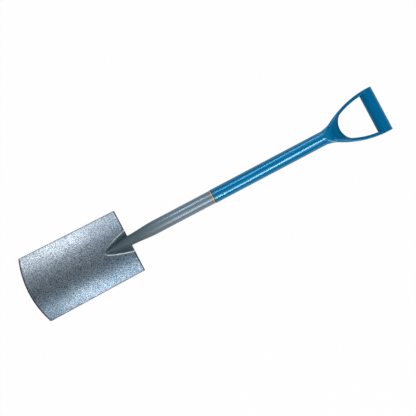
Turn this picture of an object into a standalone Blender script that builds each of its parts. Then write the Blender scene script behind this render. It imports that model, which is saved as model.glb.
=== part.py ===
# Border spade, lying on its back with the hollow face of the blade up.
# X runs along the shaft from the cutting edge to the grip, Y across the blade, Z up.
# The origin is at the middle of the footprint, on the surface the spade lies on.
# Metres throughout.

import math

import bmesh
import bpy
from mathutils import Vector

# Clearance between pieces that touch
FIT_GAP = 0.0003

# Blade: pressed sheet with a hollow face and a V shaped frog for the neck
SHEET = 0.0020
BLADE_LENGTH = 0.2766
TIP_WIDTH = 0.1688
SHOULDER_WIDTH = 0.1615
EDGE_RADIUS = 0.2145
HOLLOW_RADIUS = 0.190
BLADE_LIFT = 0.015
FROG_LENGTH = 0.0710
FROG_MOUTH_WIDTH = 0.0560
FROG_NOSE_WIDTH = 0.0150
FROG_DEPTH = 0.0100
FROG_WALL_POWER = 3

# Shaft: steel tube, drawn down to a neck and pressed flat into the frog
SHAFT_LENGTH = 0.5377
TUBE_DIAMETER = 0.0337
TUBE_WALL = 0.0015
NECK_WIDTH = 0.0258
NECK_TAPER = 0.0700
TONGUE_SETBACK = 0.0060
TONGUE_END_WIDTH = 0.0060
TONGUE_END_HEIGHT = 0.0050
NECK_SOLID_LENGTH = 0.0150

# Fillet welds that hold the neck in the frog
WELD_RADIUS = 0.0014
WELD_END_MARGIN = 0.0060
WELD_CLEARANCE = 0.0001

# Plastic sleeve and the gilt band at its lower end
SLEEVE_WALL = 0.0006
SLEEVE_LENGTH = 0.3080
BAND_WIDTH = 0.0032

# Handle fork: socket spigot, neck, web and two arms that end in round eyes
FORK_LENGTH = 0.1383
SPIGOT_LENGTH = 0.0600
SPIGOT_BORE = 0.0200
NECK_STEP = 0.0004
NECK_COLLAR_LENGTH = 0.0040
NECK_DOME_LENGTH = 0.0120
NECK_FLARE = 0.55
NECK_FILLET_RADIUS = 0.0645
CROTCH_FROM_GRIP = 0.0975
CROTCH_RADIUS = 0.0410
ARM_OUTER_RADIUS = 0.2430
ARM_OUTER_SHIFT = 0.0085
ARM_INNER_RADIUS = 0.1985
WEB_RIM = 0.0095
WEB_RECESS = 0.0060
WEB_RECESS_START = 0.0100
WEB_RAMP_LENGTH = 0.0240
WEB_DEPTH = 0.0330
ARM_DEPTH = 0.0270
EYE_FILLET_RADIUS = 0.0600
ARM_EDGE_ROUND = 0.0030

# Grip: hollow bar between the arms, tied by a steel rod
GRIP_WIDTH = 0.1169
GRIP_DIAMETER = 0.0358
HAND_WIDTH = 0.0998
GRIP_WALL = 0.0030
GRIP_EDGE_ROUND = 0.0015
ROD_DIAMETER = 0.0100

# Rivet through the tube and the spigot, under the sleeve
RIVET_DIAMETER = 0.0050
RIVET_FROM_TUBE_END = 0.0300

# Facets of round pieces
ROUND_SIDES = 32
SMALL_SIDES = 16
ARC_STEPS = 10
SHORT_ARC_STEPS = 6
SMOOTH_ANGLE = math.radians(35)
WELD_MERGE = 0.00001

# Places along the shaft, from the sizes above
OVERALL_LENGTH = BLADE_LENGTH + SHAFT_LENGTH + FORK_LENGTH + GRIP_DIAMETER / 2
TIP_X = -OVERALL_LENGTH / 2
SHOULDER_X = TIP_X + BLADE_LENGTH
FROG_NOSE_X = SHOULDER_X - FROG_LENGTH
TUBE_END_X = SHOULDER_X + SHAFT_LENGTH
GRIP_X = TUBE_END_X + FORK_LENGTH
CROTCH_X = GRIP_X - CROTCH_FROM_GRIP
SHAFT_Z = GRIP_DIAMETER / 2

SLEEVE_RADIUS = TUBE_DIAMETER / 2 + FIT_GAP + SLEEVE_WALL
SLEEVE_X = TUBE_END_X - SLEEVE_LENGTH
NECK_RADIUS = SLEEVE_RADIUS + NECK_STEP
BORE_RADIUS = TUBE_DIAMETER / 2 - TUBE_WALL
NECK_HALF_HEIGHT = SHAFT_Z - SHEET - FIT_GAP

X_AXIS = (0, math.radians(90), 0)
Y_AXIS = (math.radians(90), 0, 0)


def clear_scene():
    for item in list(bpy.data.objects):
        bpy.data.objects.remove(item, do_unlink=True)


def new_collection(name):
    collection = bpy.data.collections.new(name)
    bpy.context.scene.collection.children.link(collection)
    return collection


def make_material(name, colour, roughness, metallic):
    material = bpy.data.materials.new(name)
    material.use_nodes = True
    shader = material.node_tree.nodes["Principled BSDF"]
    shader.inputs["Base Color"].default_value = (*colour, 1)
    shader.inputs["Roughness"].default_value = roughness
    shader.inputs["Metallic"].default_value = metallic
    return material


def add_object(name, mesh, material=None, collection=None):
    item = bpy.data.objects.new(name, mesh)
    (collection or parts).objects.link(item)
    if material:
        mesh.materials.append(material)
        item.parent = root
    return item


def add_mesh_object(name, build, material=None, collection=None):
    mesh = bpy.data.meshes.new(name)
    body = bmesh.new()
    build(body)
    bmesh.ops.recalc_face_normals(body, faces=body.faces)
    body.to_mesh(mesh)
    body.free()
    mesh.shade_smooth()
    mesh.set_sharp_from_angle(angle=SMOOTH_ANGLE)
    return add_object(name, mesh, material, collection)


def mix(start, end, share):
    return start + (end - start) * share


def ease(share):
    return share * share * (3 - 2 * share)


def arc(centre, radius, start, end, steps):
    points = []
    for step in range(steps + 1):
        angle = mix(start, end, step / steps)
        points.append((centre[0] + radius * math.cos(angle),
                       centre[1] + radius * math.sin(angle)))
    return points


# Turned pieces: a closed profile of (radius, height) spun about the object's own Z
def turned(name, profile, location, rotation, material=None, sides=ROUND_SIDES):
    mesh = bpy.data.meshes.new(name)
    points = [(radius, 0, height) for radius, height in profile]
    edges = [(step, (step + 1) % len(points)) for step in range(len(points))]
    mesh.from_pydata(points, edges, [])
    item = add_object(name, mesh, material, None if material else cutters)
    item.location = location
    item.rotation_euler = rotation
    spin = item.modifiers.new("Spin", 'SCREW')
    spin.axis = 'Z'
    spin.steps = sides
    spin.render_steps = sides
    spin.use_merge_vertices = True
    spin.merge_threshold = WELD_MERGE
    spin.use_smooth_shade = True
    return item


def ring_profile(inner, outer, length):
    return [(outer, length), (outer, 0), (inner, 0), (inner, length)]


# Cutters are cylinders along Y at the shaft's height, kept out of the build
def make_cutter(item):
    item.hide_render = True
    item.display_type = 'WIRE'
    return item


def cylinder_cutter(name, radius, length, x, sides=SMALL_SIDES):
    bpy.ops.mesh.primitive_cylinder_add(vertices=sides, radius=radius, depth=length,
                                        location=(x, 0, SHAFT_Z), rotation=Y_AXIS)
    item = bpy.context.object
    item.name = name
    for collection in list(item.users_collection):
        collection.objects.unlink(item)
    cutters.objects.link(item)
    return make_cutter(item)


def combine(item, other, operation):
    step = item.modifiers.new(other.name, 'BOOLEAN')
    step.operation = operation
    step.object = other
    step.solver = 'EXACT'


# A flat outline, thick along Z, with rounded rims
def slab(name, outline, half_depth, rim, rotation=(0, 0, 0), location=(0, 0, 0)):
    curve = bpy.data.curves.new(name, 'CURVE')
    curve.dimensions = '2D'
    curve.fill_mode = 'BOTH'
    curve.extrude = half_depth - rim
    curve.bevel_depth = rim
    curve.bevel_resolution = 1
    curve.offset = -rim
    spline = curve.splines.new('POLY')
    spline.points.add(len(outline) - 1)
    for point, place in zip(spline.points, outline):
        point.co = (place[0], place[1], 0, 1)
    spline.use_cyclic_u = True
    source = bpy.data.objects.new(name, curve)
    cutters.objects.link(source)
    source.location = location
    source.rotation_euler = rotation
    return curve_to_mesh(source)


def curve_to_mesh(source):
    name = source.name
    bpy.context.view_layer.update()
    evaluated = source.evaluated_get(bpy.context.evaluated_depsgraph_get())
    mesh = bpy.data.meshes.new_from_object(evaluated)
    body = bmesh.new()
    body.from_mesh(mesh)
    bmesh.ops.remove_doubles(body, verts=body.verts, dist=WELD_MERGE)
    bmesh.ops.recalc_face_normals(body, faces=body.faces)
    body.to_mesh(mesh)
    body.free()
    mesh.shade_smooth()
    mesh.set_sharp_from_angle(angle=SMOOTH_ANGLE)
    place = source.matrix_world.copy()
    bpy.data.objects.remove(source, do_unlink=True)
    item = bpy.data.objects.new(name, mesh)
    item.matrix_world = place
    cutters.objects.link(item)
    return make_cutter(item)


# The blade's hollow face: width, height and frog at a distance along X
def blade_half_width(x):
    return mix(TIP_WIDTH, SHOULDER_WIDTH, (x - TIP_X) / BLADE_LENGTH) / 2


def edge_x(y):
    return TIP_X + EDGE_RADIUS - math.sqrt(EDGE_RADIUS ** 2 - y ** 2)


def hollow(y):
    return HOLLOW_RADIUS - math.sqrt(HOLLOW_RADIUS ** 2 - y ** 2)


def crown_z(x):
    return SHEET + FROG_DEPTH + BLADE_LIFT * (SHOULDER_X - x) / BLADE_LENGTH


def frog_half_width(x):
    share = (x - FROG_NOSE_X) / FROG_LENGTH
    if share < 0:
        below = (FROG_NOSE_X - x) / (FROG_NOSE_X - TIP_X)
        return mix(FROG_NOSE_WIDTH, FROG_MOUTH_WIDTH, below) / 2
    return mix(FROG_NOSE_WIDTH, FROG_MOUTH_WIDTH, share) / 2


def frog_floor_z(x):
    share = (SHOULDER_X - x) / FROG_LENGTH
    return mix(SHEET, crown_z(FROG_NOSE_X), share ** 2)


def face_z(x, y):
    z = crown_z(x) + hollow(y)
    across = abs(y) / frog_half_width(x)
    if x > FROG_NOSE_X and across < 1:
        lip_z = crown_z(x) + hollow(frog_half_width(x))
        z = mix(frog_floor_z(x), lip_z, across ** FROG_WALL_POWER)
    return z


BLADE_COLUMNS_FROG = 5
BLADE_COLUMNS_SIDE = 6
BLADE_ROWS_FROG = 10
BLADE_ROWS_BODY = 9


def blade_rows():
    rows = [mix(TIP_X, FROG_NOSE_X, step / BLADE_ROWS_BODY) for step in range(BLADE_ROWS_BODY)]
    rows += [mix(FROG_NOSE_X, SHOULDER_X, step / BLADE_ROWS_FROG) for step in range(BLADE_ROWS_FROG + 1)]
    return rows


def blade_columns(x):
    inner = frog_half_width(x)
    outer = blade_half_width(x)
    half = [inner * step / BLADE_COLUMNS_FROG for step in range(BLADE_COLUMNS_FROG + 1)]
    half += [mix(inner, outer, step / BLADE_COLUMNS_SIDE) for step in range(1, BLADE_COLUMNS_SIDE + 1)]
    return [-y for y in reversed(half[1:])] + half


def build_blade_face(body):
    grid = []
    for row_x in blade_rows():
        row = []
        for y in blade_columns(row_x):
            # rows bend towards the curved cutting edge
            share = (row_x - TIP_X) / BLADE_LENGTH
            x = row_x + (edge_x(y) - TIP_X) * (1 - share) ** 3
            row.append(body.verts.new((x, y, face_z(x, y))))
        grid.append(row)
    for lower, upper in zip(grid, grid[1:]):
        for column in range(len(lower) - 1):
            body.faces.new((lower[column], upper[column], upper[column + 1], lower[column + 1]))


def make_blade(material):
    blade = add_mesh_object("blade", build_blade_face, material)
    shell = blade.modifiers.new("Sheet", 'SOLIDIFY')
    shell.thickness = SHEET
    shell.offset = -1
    shell.use_even_offset = True
    # the open face is wound with its normals up, so the sheet grows below it
    if sum(face.normal.z for face in blade.data.polygons) < 0:
        shell.offset = 1
    return blade


# The shaft tube: half width, half height and middle height at a distance along X
def tongue_start_x():
    return FROG_NOSE_X + TONGUE_SETBACK


def tube_section(x):
    if x < SHOULDER_X:
        share = (x - tongue_start_x()) / (SHOULDER_X - tongue_start_x())
        half_width = mix(TONGUE_END_WIDTH / 2, NECK_WIDTH / 2, share)
        half_height = mix(TONGUE_END_HEIGHT / 2, NECK_HALF_HEIGHT, share)
        return half_width, half_height, frog_floor_z(x) + FIT_GAP + half_height
    share = ease(min(1, (x - SHOULDER_X) / NECK_TAPER))
    half_width = mix(NECK_WIDTH / 2, TUBE_DIAMETER / 2, share)
    half_height = mix(NECK_HALF_HEIGHT, TUBE_DIAMETER / 2, share)
    return half_width, half_height, SHAFT_Z


TONGUE_STEPS = 8
TAPER_STEPS = 8


def tube_ring(body, x, inset):
    half_width, half_height, middle = tube_section(x)
    ring = []
    for step in range(ROUND_SIDES):
        angle = 2 * math.pi * step / ROUND_SIDES
        ring.append(body.verts.new((x, (half_width - inset) * math.cos(angle),
                                    middle + (half_height - inset) * math.sin(angle))))
    return ring


def join_rings(body, first, second):
    for step in range(len(first)):
        after = (step + 1) % len(first)
        body.faces.new((first[step], first[after], second[after], second[step]))


def build_tube(body):
    stations = [mix(tongue_start_x(), SHOULDER_X, step / TONGUE_STEPS) for step in range(TONGUE_STEPS)]
    stations += [SHOULDER_X + NECK_TAPER * step / TAPER_STEPS for step in range(TAPER_STEPS + 1)]
    stations.append(TUBE_END_X - FIT_GAP)
    outer = [tube_ring(body, x, 0) for x in stations]
    bore_start = SHOULDER_X + NECK_SOLID_LENGTH
    bore_stations = [bore_start] + [x for x in stations if x > bore_start + TUBE_WALL]
    inner = [tube_ring(body, x, TUBE_WALL) for x in bore_stations]
    for rings in (outer, inner):
        for first, second in zip(rings, rings[1:]):
            join_rings(body, first, second)
    join_rings(body, outer[-1], inner[-1])
    body.faces.new(outer[0])
    body.faces.new(inner[0])


def make_tube(material):
    tube = add_mesh_object("shaft_tube", build_tube, material)
    combine(tube, rivet_hole, 'DIFFERENCE')
    return tube


# A weld bead rolls in the corner between the neck and the frog
SEARCH_STEPS = 30
SLOPE_STEP = 0.0001


def face_slope(x, y):
    return (face_z(x, y + SLOPE_STEP) - face_z(x, y - SLOPE_STEP)) / (2 * SLOPE_STEP)


def weld_centre(x):
    half_width, half_height, middle = tube_section(x)
    reach = WELD_RADIUS + FIT_GAP
    neck = [(half_width * math.cos(angle), middle + half_height * math.sin(angle))
            for angle in (math.radians(step) for step in range(-90, 91, 2))]
    low, high = 0.0, frog_half_width(x)
    for attempt in range(SEARCH_STEPS):
        y = (low + high) / 2
        z = face_z(x, y) + reach * math.sqrt(1 + face_slope(x, y) ** 2)
        nearest = min(math.hypot(y - side, z - height) for side, height in neck)
        if nearest < reach and y < half_width + reach:
            low = y
        else:
            high = y
    return Vector((x, high + WELD_CLEARANCE, z + WELD_CLEARANCE))


WELD_STEPS = 12


def make_weld(name, side, material):
    curve = bpy.data.curves.new(name, 'CURVE')
    curve.dimensions = '3D'
    curve.bevel_depth = WELD_RADIUS
    curve.bevel_resolution = 2
    curve.use_fill_caps = True
    spline = curve.splines.new('POLY')
    spline.points.add(WELD_STEPS)
    start = tongue_start_x() + WELD_END_MARGIN
    for step, point in enumerate(spline.points):
        place = weld_centre(mix(start, SHOULDER_X - WELD_RADIUS, step / WELD_STEPS))
        point.co = (place.x, place.y * side, place.z, 1)
    weld = bpy.data.objects.new(name, curve)
    parts.objects.link(weld)
    curve.materials.append(material)
    weld.parent = root
    return weld


# Where two circles meet, on the side of +Y
def circles_meet(first, first_radius, second, second_radius):
    apart = Vector(second) - Vector(first)
    along = (apart.length_squared + first_radius ** 2 - second_radius ** 2) / (2 * apart.length)
    aside = math.sqrt(first_radius ** 2 - along ** 2)
    step = apart.normalized()
    meets = [Vector(first) + step * along + side * aside * Vector((-step.y, step.x)) for side in (1, -1)]
    return max(meets, key=lambda point: point.y)


def angle_to(centre, point):
    return math.atan2(point[1] - centre[1], point[0] - centre[0])


def arm_outer_centre():
    drop = math.sqrt(ARM_OUTER_RADIUS ** 2 - ARM_OUTER_SHIFT ** 2)
    return GRIP_X + ARM_OUTER_SHIFT, GRIP_WIDTH / 2 - drop


# The fork's outline in plan, arcs only, from the neck round to the neck again
def fork_outline():
    outer_half = GRIP_WIDTH / 2
    inner_half = HAND_WIDTH / 2
    end_x = GRIP_X + GRIP_DIAMETER / 2

    outer = arm_outer_centre()
    fillet_y = NECK_RADIUS + NECK_FILLET_RADIUS
    reach = ARM_OUTER_RADIUS + NECK_FILLET_RADIUS
    fillet = (outer[0] - math.sqrt(reach ** 2 - (fillet_y - outer[1]) ** 2), fillet_y)
    turn = angle_to(outer, fillet)

    inner = (GRIP_X, inner_half - ARM_INNER_RADIUS)
    crotch = (CROTCH_X + CROTCH_RADIUS, 0)
    corner = circles_meet(inner, ARM_INNER_RADIUS, crotch, CROTCH_RADIUS)

    half = arc(fillet, NECK_FILLET_RADIUS, math.radians(-90), turn - math.pi, SHORT_ARC_STEPS)
    half += arc(outer, ARM_OUTER_RADIUS, turn, angle_to(outer, (GRIP_X, outer_half)), ARC_STEPS)[1:]
    half += [(end_x, outer_half), (end_x, inner_half)]
    half += arc(inner, ARM_INNER_RADIUS, math.radians(90), angle_to(inner, corner), ARC_STEPS)
    half += arc(crotch, CROTCH_RADIUS, angle_to(crotch, corner), math.radians(180), ARC_STEPS)[1:]
    return half + [(x, -y) for x, y in reversed(half[:-1])]


# The recess in the web: inside the arms in plan, ramping down towards the crotch
def recess_outline():
    outer = arm_outer_centre()
    radius = ARM_OUTER_RADIUS - WEB_RIM
    ends = [(x, outer[1] + math.sqrt(radius ** 2 - (x - outer[0]) ** 2))
            for x in (TUBE_END_X + WEB_RECESS_START, CROTCH_X + CROTCH_RADIUS)]
    half = arc(outer, radius, angle_to(outer, ends[0]), angle_to(outer, ends[1]), SHORT_ARC_STEPS)
    return half + [(x, -y) for x, y in reversed(half)]


def recess_side(side):
    top = WEB_DEPTH / 2
    start_x = TUBE_END_X + WEB_RECESS_START
    end_x = CROTCH_X + CROTCH_RADIUS
    points = [(start_x, top), (start_x + WEB_RAMP_LENGTH, top - WEB_RECESS), (end_x, top - WEB_RECESS),
              (end_x, top + WEB_DEPTH), (start_x, top + WEB_DEPTH)]
    return [(x, side * z) for x, z in points]


def web_recess(name, side):
    plan = slab(name + "_plan", recess_outline(), GRIP_DIAMETER, 0, location=(0, 0, SHAFT_Z))
    wedge = slab(name, recess_side(side), GRIP_WIDTH, 0, rotation=Y_AXIS, location=(0, 0, SHAFT_Z))
    combine(wedge, plan, 'INTERSECT')
    return wedge


# The fork's depth seen from the side, narrowing to the arms and round at the eyes
def fork_side():
    eye = GRIP_DIAMETER / 2
    web = WEB_DEPTH / 2
    arm = ARM_DEPTH / 2
    fillet_z = arm + EYE_FILLET_RADIUS
    fillet_x = GRIP_X - math.sqrt((eye + EYE_FILLET_RADIUS) ** 2 - fillet_z ** 2)
    turn = math.atan2(fillet_z, fillet_x - GRIP_X)
    start_x = TUBE_END_X
    half = [(start_x, web)]
    half += [(mix(CROTCH_X, fillet_x, step / SHORT_ARC_STEPS), mix(web, arm, ease(step / SHORT_ARC_STEPS)))
             for step in range(SHORT_ARC_STEPS)]
    half += arc((fillet_x, fillet_z), EYE_FILLET_RADIUS, math.radians(-90), turn - math.pi, SHORT_ARC_STEPS)
    half += arc((GRIP_X, 0), eye, turn, 0, ARC_STEPS)[1:]
    return half + [(x, -z) for x, z in reversed(half[:-1])]


def make_fork(material):
    spigot = BORE_RADIUS - FIT_GAP
    neck = NECK_RADIUS
    collar_end = SPIGOT_LENGTH + NECK_COLLAR_LENGTH
    bore = SPIGOT_BORE / 2
    dome = [(neck * math.sin(angle), collar_end + NECK_DOME_LENGTH * math.cos(angle))
            for angle in (math.radians(90) * step / SHORT_ARC_STEPS for step in range(SHORT_ARC_STEPS + 1))]
    profile = dome + [(neck, SPIGOT_LENGTH), (spigot, SPIGOT_LENGTH),
                      (spigot, 0), (bore, 0), (bore, SPIGOT_LENGTH), (0, SPIGOT_LENGTH)]
    fork = turned("handle_fork", profile, (TUBE_END_X - SPIGOT_LENGTH, 0, SHAFT_Z), X_AXIS, material)
    plate = slab("fork_plate", fork_outline(), GRIP_DIAMETER / 2, ARM_EDGE_ROUND, location=(0, 0, SHAFT_Z))
    side = slab("fork_side", fork_side(), GRIP_WIDTH, 0, rotation=Y_AXIS, location=(0, 0, SHAFT_Z))
    flare_length = FORK_LENGTH + GRIP_DIAMETER
    flare = [(0, flare_length), (neck + NECK_FLARE * flare_length, flare_length), (neck, 0), (0, 0)]
    cone = make_cutter(turned("fork_flare", flare, (TUBE_END_X, 0, SHAFT_Z), X_AXIS))
    combine(plate, side, 'INTERSECT')
    combine(plate, cone, 'INTERSECT')
    combine(fork, plate, 'UNION')
    combine(fork, web_recess("web_recess_top", 1), 'DIFFERENCE')
    combine(fork, web_recess("web_recess_bottom", -1), 'DIFFERENCE')
    combine(fork, rivet_hole, 'DIFFERENCE')
    combine(fork, rod_hole, 'DIFFERENCE')
    combine(fork, grip_seat, 'DIFFERENCE')
    return fork


def make_grip(material):
    length = HAND_WIDTH - 2 * FIT_GAP
    radius = GRIP_DIAMETER / 2
    bore = ROD_DIAMETER / 2 + FIT_GAP
    hollow_radius = radius - GRIP_WALL
    rim = GRIP_EDGE_ROUND
    profile = [(radius - rim, length), (radius, length - rim), (radius, rim), (radius - rim, 0), (bore, 0),
               (bore, GRIP_WALL), (hollow_radius, GRIP_WALL), (hollow_radius, length - GRIP_WALL),
               (bore, length - GRIP_WALL), (bore, length)]
    return turned("grip", profile, (GRIP_X, length / 2, SHAFT_Z), Y_AXIS, material)


def make_pin(name, diameter, length, x, material):
    profile = [(0, length), (diameter / 2, length), (diameter / 2, 0), (0, 0)]
    return turned(name, profile, (x, length / 2, SHAFT_Z), Y_AXIS, material, SMALL_SIDES)


clear_scene()
parts = new_collection("border_spade")
cutters = new_collection("border_spade_cutters")
root = bpy.data.objects.new("border_spade_frame", None)
parts.objects.link(root)

blade_steel = make_material("hammered_steel", (0.16, 0.20, 0.24), 0.35, 0.8)
tube_steel = make_material("painted_tube", (0.13, 0.16, 0.19), 0.35, 0.6)
blue_sleeve = make_material("blue_sleeve", (0.0, 0.13, 0.35), 0.25, 0.0)
blue_moulding = make_material("blue_moulding", (0.0, 0.11, 0.32), 0.35, 0.0)
gilt = make_material("gilt_band", (0.65, 0.48, 0.18), 0.35, 0.6)
bare_steel = make_material("bare_steel", (0.5, 0.5, 0.5), 0.4, 1.0)

RIVET_X = TUBE_END_X - RIVET_FROM_TUBE_END
rivet_hole = cylinder_cutter("rivet_hole", RIVET_DIAMETER / 2 + FIT_GAP, 2 * TUBE_DIAMETER, RIVET_X)
rod_hole = cylinder_cutter("rod_hole", ROD_DIAMETER / 2 + FIT_GAP, 2 * GRIP_WIDTH, GRIP_X)
grip_seat = cylinder_cutter("grip_seat", GRIP_DIAMETER / 2 + FIT_GAP, HAND_WIDTH, GRIP_X, ROUND_SIDES)

make_blade(blade_steel)
make_tube(tube_steel)
make_weld("frog_weld_left", 1, tube_steel)
make_weld("frog_weld_right", -1, tube_steel)
turned("trim_band", ring_profile(SLEEVE_RADIUS - SLEEVE_WALL, SLEEVE_RADIUS, BAND_WIDTH),
       (SLEEVE_X - FIT_GAP - BAND_WIDTH, 0, SHAFT_Z), X_AXIS, gilt)
turned("shaft_sleeve", ring_profile(SLEEVE_RADIUS - SLEEVE_WALL, SLEEVE_RADIUS, SLEEVE_LENGTH - FIT_GAP),
       (SLEEVE_X, 0, SHAFT_Z), X_AXIS, blue_sleeve)
make_fork(blue_moulding)
make_pin("handle_rivet", RIVET_DIAMETER, TUBE_DIAMETER, RIVET_X, bare_steel)
make_grip(blue_moulding)
make_pin("grip_rod", ROD_DIAMETER, GRIP_WIDTH, GRIP_X, bare_steel)
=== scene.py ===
import math

import bmesh
import bpy
from mathutils import Euler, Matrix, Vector


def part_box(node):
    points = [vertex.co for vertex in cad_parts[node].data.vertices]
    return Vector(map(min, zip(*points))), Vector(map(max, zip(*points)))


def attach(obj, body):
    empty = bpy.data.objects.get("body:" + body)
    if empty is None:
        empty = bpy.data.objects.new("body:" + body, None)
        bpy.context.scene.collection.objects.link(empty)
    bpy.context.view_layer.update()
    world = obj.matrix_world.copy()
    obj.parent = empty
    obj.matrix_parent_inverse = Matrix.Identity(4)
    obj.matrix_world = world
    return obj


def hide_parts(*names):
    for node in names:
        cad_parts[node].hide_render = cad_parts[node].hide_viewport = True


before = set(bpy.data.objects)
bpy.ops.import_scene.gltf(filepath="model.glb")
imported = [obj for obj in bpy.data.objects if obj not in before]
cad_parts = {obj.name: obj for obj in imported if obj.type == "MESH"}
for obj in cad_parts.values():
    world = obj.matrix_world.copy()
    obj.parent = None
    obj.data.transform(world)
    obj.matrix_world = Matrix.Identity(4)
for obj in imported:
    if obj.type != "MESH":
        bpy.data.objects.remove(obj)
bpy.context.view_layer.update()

# Border spade on its back: hammered grey paint, glossy blue sleeve and moulded blue handle.
# X runs from the cutting edge to the grip, Y across the blade, Z up, in metres.
fitGap = 0.0003  # between a piece and its seat
seamGap = 0.000002  # points nearer than this are merged


def mix(start, end, share):
    return start + (end - start) * share


def ease(share):
    share = min(1, max(0, share))
    return share * share * (3 - 2 * share)


def middleOf(nodeName):
    low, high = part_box(nodeName)
    return [(a + b) / 2 for a, b in zip(low, high)]


# A new material, with its node tree and its main shader
def newMaterial(name):
    material = bpy.data.materials.new(name)
    material.use_nodes = True
    tree = material.node_tree
    return material, tree, tree.nodes["Principled BSDF"]


def addNode(tree, kind, values=None, **settings):
    node = tree.nodes.new(kind)
    for key, value in settings.items():
        setattr(node, key, value)
    for key, value in (values or {}).items():
        node.inputs[key].default_value = value
    return node


def objectPoint(tree):
    return addNode(tree, "ShaderNodeTexCoord").outputs["Object"]


def remap(tree, value, low, high, toLow, toHigh):
    node = addNode(tree, "ShaderNodeMapRange", {"From Min": low, "From Max": high,
                                                "To Min": toLow, "To Max": toHigh})
    tree.links.new(value, node.inputs["Value"])
    return node.outputs["Result"]


def blendColours(tree, share, first, second, blend='MIX'):
    node = addNode(tree, "ShaderNodeMix", data_type='RGBA', blend_type=blend)
    tree.links.new(share, node.inputs["Factor"])
    for socket, colour in ((node.inputs[6], first), (node.inputs[7], second)):
        if isinstance(colour, bpy.types.NodeSocket):
            tree.links.new(colour, socket)
        else:
            socket.default_value = (*colour, 1)
    return node.outputs[2]


def blendValues(tree, share, first, second):
    node = addNode(tree, "ShaderNodeMix", data_type='FLOAT')
    tree.links.new(share, node.inputs["Factor"])
    for socket, value in ((node.inputs[2], first), (node.inputs[3], second)):
        if isinstance(value, bpy.types.NodeSocket):
            tree.links.new(value, socket)
        else:
            socket.default_value = value
    return node.outputs[0]


# A share from 0 to 1 that the piece's mesh carries
def mark(tree, name):
    return addNode(tree, "ShaderNodeAttribute", attribute_name=name).outputs["Fac"]


def newGroup(name, inputs, outputs):
    tree = bpy.data.node_groups.new(name, "ShaderNodeTree")
    for label, value in inputs.items():
        socket = tree.interface.new_socket(label, in_out='INPUT', socket_type='NodeSocketFloat')
        socket.default_value = value
    for label in outputs:
        tree.interface.new_socket(label, in_out='OUTPUT', socket_type='NodeSocketFloat')
    return tree, tree.nodes.new("NodeGroupInput"), tree.nodes.new("NodeGroupOutput")


def placeGroup(tree, group, **values):
    node = addNode(tree, "ShaderNodeGroup")
    node.node_tree = group
    for key, value in values.items():
        node.inputs[key].default_value = value
    return node


def bumpNormal(tree, shader, height, distance, strength=1):
    bump = addNode(tree, "ShaderNodeBump", {"Strength": strength, "Distance": distance})
    tree.links.new(height, bump.inputs["Height"])
    tree.links.new(bump.outputs["Normal"], shader.inputs["Normal"])


# Hammer marks: soft dimples a few millimetres wide, of uneven size
dimples = {"wobbleScale": 160, "wobbleDetail": 2, "smoothness": 0.35, "reach": 0.75, "crease": (0.02, 0.28)}


def makeHammerGroup():
    tree, given, out = newGroup("hammerDimples", {"CellsPerMetre": 300, "Warp": 0.002}, ["Height", "Crease"])
    point = objectPoint(tree)
    wobble = addNode(tree, "ShaderNodeTexNoise", {"Scale": dimples["wobbleScale"],
                                                  "Detail": dimples["wobbleDetail"]})
    shift = addNode(tree, "ShaderNodeVectorMath", operation='SCALE')
    warped = addNode(tree, "ShaderNodeVectorMath", operation='ADD')
    cells = addNode(tree, "ShaderNodeTexVoronoi", {"Smoothness": dimples["smoothness"]}, feature='SMOOTH_F1')
    edges = addNode(tree, "ShaderNodeTexVoronoi", feature='DISTANCE_TO_EDGE')
    tree.links.new(point, wobble.inputs["Vector"])
    tree.links.new(wobble.outputs["Color"], shift.inputs[0])
    tree.links.new(given.outputs["Warp"], shift.inputs["Scale"])
    tree.links.new(point, warped.inputs[0])
    tree.links.new(shift.outputs[0], warped.inputs[1])
    for cell in (cells, edges):
        tree.links.new(warped.outputs[0], cell.inputs["Vector"])
        tree.links.new(given.outputs["CellsPerMetre"], cell.inputs["Scale"])
    height = remap(tree, cells.outputs["Distance"], 0, dimples["reach"], 1, 0)
    crease = remap(tree, edges.outputs["Distance"], *dimples["crease"], 1, 0)
    tree.links.new(height, out.inputs["Height"])
    tree.links.new(crease, out.inputs["Crease"])
    return tree


# Uneven patches from 0 to 1: noise of a given scale, drawn out along X where the stretch is small
def makePatchGroup():
    tree, given, out = newGroup("patches", {"Scale": 40, "Stretch": 1, "Low": 0.3, "High": 0.7},
                                ["Share", "Height"])
    parts = addNode(tree, "ShaderNodeSeparateXYZ")
    drawn = addNode(tree, "ShaderNodeMath", operation='MULTIPLY')
    point = addNode(tree, "ShaderNodeCombineXYZ")
    cloud = addNode(tree, "ShaderNodeTexNoise", {"Detail": 3})
    share = addNode(tree, "ShaderNodeMapRange")
    tree.links.new(objectPoint(tree), parts.inputs[0])
    tree.links.new(parts.outputs["X"], drawn.inputs[0])
    tree.links.new(given.outputs["Stretch"], drawn.inputs[1])
    tree.links.new(drawn.outputs[0], point.inputs["X"])
    tree.links.new(parts.outputs["Y"], point.inputs["Y"])
    tree.links.new(parts.outputs["Z"], point.inputs["Z"])
    tree.links.new(point.outputs[0], cloud.inputs["Vector"])
    tree.links.new(given.outputs["Scale"], cloud.inputs["Scale"])
    tree.links.new(cloud.outputs["Fac"], share.inputs["Value"])
    tree.links.new(given.outputs["Low"], share.inputs["From Min"])
    tree.links.new(given.outputs["High"], share.inputs["From Max"])
    tree.links.new(share.outputs["Result"], out.inputs["Share"])
    tree.links.new(cloud.outputs["Fac"], out.inputs["Height"])
    return tree


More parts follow.
